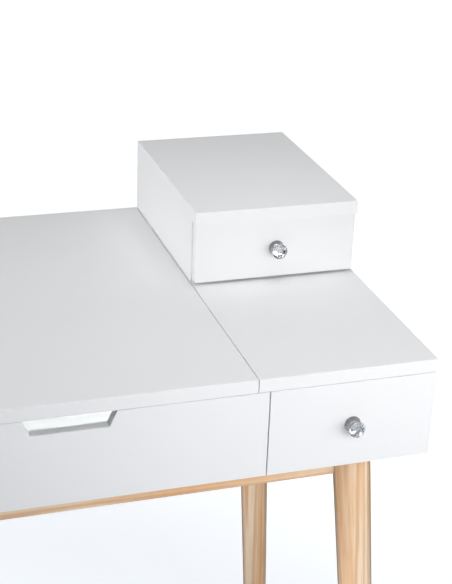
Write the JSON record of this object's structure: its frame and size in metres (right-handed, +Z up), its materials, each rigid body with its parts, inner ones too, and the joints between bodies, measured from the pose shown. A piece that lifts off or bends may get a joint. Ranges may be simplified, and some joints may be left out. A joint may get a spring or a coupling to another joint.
{
  "type": "flip top vanity table",
  "caption": "White flip-top vanity table on splayed wooden legs: mirrored lid over a compartment, wide drawer, and a small box with a drawer on the fixed top.",
  "frame": {"origin": "middle of the whole table's footprint on the floor, knobs and hinge barrels included", "axes": "+X to the right seen from the front, +Y to the back, +Z up"},
  "size_m": [0.6038, 0.5282, 0.8405],
  "materials": {
    "white_board": "satin white lacquered board",
    "drawer_board": "white melamine-faced board",
    "sheet": "white-faced hardboard",
    "leg_wood": "clear satin varnish on pale wood",
    "rail_wood": "clear satin varnish on pale wood",
    "dowel_wood": "bare fluted dowel",
    "pad_plastic": "moulded",
    "runner_plastic": "moulded",
    "clip_plastic": "moulded",
    "mirror": "silvered glass",
    "cut_glass": "faceted clear glass",
    "chrome": "bright plated",
    "zinc_steel": "zinc plated",
    "brass": "turned"
  },
  "bodies": {
    "cabinet": {"leg_front_left": "leg_wood", "leg_front_right": "leg_wood", "leg_rear_left": "leg_wood", "leg_rear_right": "leg_wood", "front_rail": "rail_wood", "rear_rail": "rail_wood", "left_rail": "rail_wood", "right_rail": "rail_wood", "corner_blocks": "rail_wood", "leg_bolts": "zinc_steel", "leg_inserts": "brass", "foot_pads": "pad_plastic", "frame_screws": "zinc_steel", "bottom_panel": "white_board", "left_side_panel": "white_board", "right_side_panel": "white_board", "divider_panel": "white_board", "back_panel": "white_board", "front_fascia": "white_board", "fixed_top": "white_board", "dowels": "dowel_wood", "cams": "zinc_steel", "cam_bolts": "zinc_steel", "carcass_screws": "zinc_steel", "main_runners": "runner_plastic", "drawer_stops": "runner_plastic", "hinge_fixed_leaves": "chrome", "hinge_pins": "chrome", "box_top": "white_board", "box_left_side": "white_board", "box_right_side": "white_board", "box_bottom": "white_board", "box_back": "white_board", "box_runners": "runner_plastic"},
    "lid": {"hinge_moving_leaves": "chrome", "lid_panel": "white_board", "lid_mirror": "mirror", "mirror_clips": "clip_plastic", "lid_screws": "zinc_steel"},
    "main_drawer": {"main_drawer_front": "white_board", "main_drawer_inner_front": "drawer_board", "main_drawer_left_side": "drawer_board", "main_drawer_right_side": "drawer_board", "main_drawer_back": "drawer_board", "main_drawer_bottom": "sheet", "main_drawer_screws": "zinc_steel", "main_knob_base": "chrome", "main_knob_crystal": "cut_glass", "main_knob_screw": "zinc_steel"},
    "box_drawer": {"box_drawer_front": "white_board", "box_drawer_inner_front": "drawer_board", "box_drawer_left_side": "drawer_board", "box_drawer_right_side": "drawer_board", "box_drawer_back": "drawer_board", "box_drawer_bottom": "sheet", "box_drawer_screws": "zinc_steel", "box_knob_base": "chrome", "box_knob_crystal": "cut_glass", "box_knob_screw": "zinc_steel"}
  },
  "joints": [
    {"name": "lid_hinge", "type": "hinge", "parent": "cabinet", "child": "lid", "pos_m": [0, 0.2587, 0.735], "axis": [-1, 0, 0], "range_deg": [0, 100]},
    {"name": "main_drawer_slide", "type": "slide", "parent": "cabinet", "child": "main_drawer", "axis": [0, -1, 0], "range_m": [0, 0.3]},
    {"name": "box_drawer_slide", "type": "slide", "parent": "cabinet", "child": "box_drawer", "axis": [0, -1, 0], "range_m": [0, 0.13]}
  ]
}
